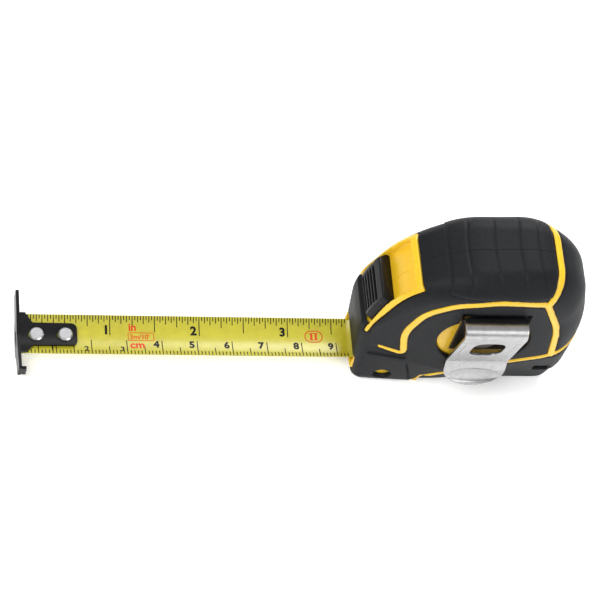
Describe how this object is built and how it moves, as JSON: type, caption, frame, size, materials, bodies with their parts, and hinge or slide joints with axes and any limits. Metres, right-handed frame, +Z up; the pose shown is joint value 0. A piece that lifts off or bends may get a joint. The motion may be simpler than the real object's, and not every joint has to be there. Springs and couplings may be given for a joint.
{
  "type": "tape measure",
  "caption": "Pocket tape measure with a rubber-covered case, a sliding thumb lock, a belt clip, and a short stretch of curved steel blade with its end hook drawn out.",
  "frame": {"origin": "centre of the flat base, on the middle plane of the case", "axes": "+X towards the back of the case, away from the end hook; +Y towards the badge side, away from the belt clip; +Z up from the base"},
  "size_m": [0.1566, 0.0313, 0.0589],
  "materials": {
    "shell_yellow": "moulded plastic, satin",
    "badge_yellow": "moulded plastic, satin",
    "rubber_black": "soft rubber with a fine moulded grain",
    "post_steel": "turned steel",
    "clip_steel": "pressed stainless spring steel, brushed",
    "screw_steel": "zinc plated",
    "rivet_steel": "nickel plated",
    "spring_steel": "blued spring steel",
    "blade_lacquer": "lacquered spring steel",
    "hook_black": "black oxide steel",
    "lock_black": "moulded plastic, fine texture",
    "lock_plastic": "moulded acetal",
    "shoe_rubber": "hard rubber",
    "reel_plastic": "moulded plastic"
  },
  "bodies": {
    "case": {"case_half_clip_side": "shell_yellow", "case_half_badge_side": "shell_yellow", "grip_pad_clip_side": "rubber_black", "grip_pad_badge_side": "rubber_black", "rear_bumper_clip_side": "rubber_black", "rear_bumper_badge_side": "rubber_black", "side_panel_clip_side": "rubber_black", "side_panel_badge_side": "rubber_black", "base_foot": "rubber_black", "mouth_stop": "rubber_black", "round_badge": "badge_yellow", "arbor_post": "post_steel", "belt_clip": "clip_steel", "clip_screw": "screw_steel", "case_screws": "screw_steel", "blade_inner_run": "blade_lacquer"},
    "reel": {"reel_drum": "reel_plastic", "reel_cover": "reel_plastic", "blade_coil": "blade_lacquer", "power_spring": "spring_steel"},
    "blade_end": {"blade_outer": "blade_lacquer", "hook_rivets": "rivet_steel"},
    "hook": {"end_hook": "hook_black"},
    "lock": {"lock_button": "lock_black", "lock_carrier": "lock_plastic", "brake_shoe": "shoe_rubber"}
  },
  "joints": [
    {"name": "blade_slide", "type": "slide", "parent": "case", "child": "blade_end", "axis": [1, 0, 0], "range_m": [0, 0.0923], "deforming": ["blade_outer"]},
    {"name": "hook_float", "type": "slide", "parent": "blade_end", "child": "hook", "axis": [1, 0, 0], "range_m": [0, 0.0008]},
    {"name": "reel_spin", "type": "hinge", "parent": "case", "child": "reel", "pos_m": [0.0005, 0, 0.03], "axis": [0, -1, 0], "range_deg": [0, 300]},
    {"name": "lock_slide", "type": "hinge", "parent": "case", "child": "lock", "pos_m": [0.001, 0, 0.028], "axis": [0, 1, 0], "range_deg": [0, 15]}
  ],
  "couplings": [
    {"joint": "reel_spin", "follows": "blade_slide", "rad_per_m": 56.5}
  ]
}
